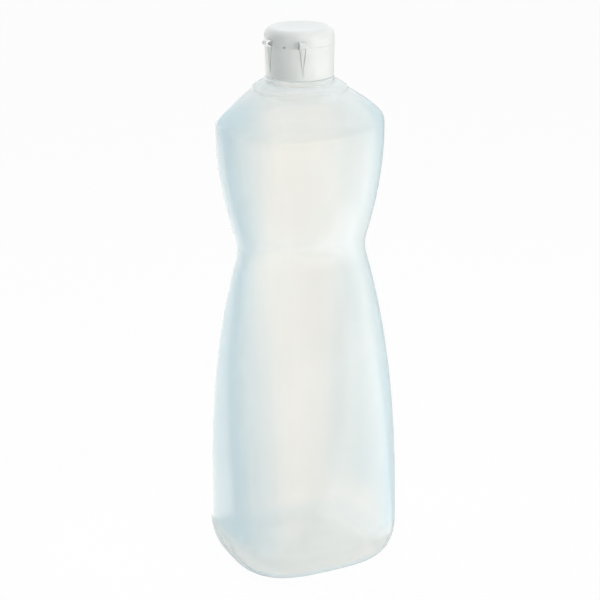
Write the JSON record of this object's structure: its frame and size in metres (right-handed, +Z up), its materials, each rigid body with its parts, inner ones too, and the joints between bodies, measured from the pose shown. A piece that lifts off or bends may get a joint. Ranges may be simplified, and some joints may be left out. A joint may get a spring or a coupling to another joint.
{
  "type": "plastic bottle",
  "caption": "Waisted translucent plastic bottle with a domed collar and a white screw cap whose flip-top lid turns on a moulded hinge.",
  "frame": {"origin": "centre of the standing ring, on the floor", "axes": "+Z up along the neck, X across the broad width, the broad front faces -Y"},
  "size_m": [0.089, 0.0768, 0.2695],
  "materials": {
    "bottle_wall": "satin natural polyethylene",
    "cap": "satin white polypropylene",
    "washer": "foamed polyethylene"
  },
  "bodies": {
    "bottle": {"bottle": "bottle_wall"},
    "washer": {"sealing_washer": "washer"},
    "cap": {"cap_base": "cap", "hinge_film_left": "cap", "hinge_film_right": "cap", "hinge_strap_left": "cap", "hinge_strap_right": "cap"},
    "lid": {"lid": "cap"}
  },
  "joints": [
    {"name": "cap_lift", "type": "slide", "parent": "bottle", "child": "washer", "axis": [0, 0, 1], "range_m": [0, 0.0064]},
    {"name": "cap_turn", "type": "hinge", "parent": "washer", "child": "cap", "pos_m": [0, 0, 0.2536], "axis": [0, 0, 1], "range_deg": [0, 540]},
    {"name": "lid_flip", "type": "hinge", "parent": "cap", "child": "lid", "pos_m": [-0.01282, -0.01038, 0.2619], "axis": [0.6293, -0.7771, 0], "range_deg": [0, 150], "deforming": ["hinge_film_left", "hinge_film_right", "hinge_strap_left", "hinge_strap_right"]}
  ],
  "couplings": [
    {"joint": "cap_lift", "follows": "cap_turn", "m_per_rad": 0.00067323}
  ]
}
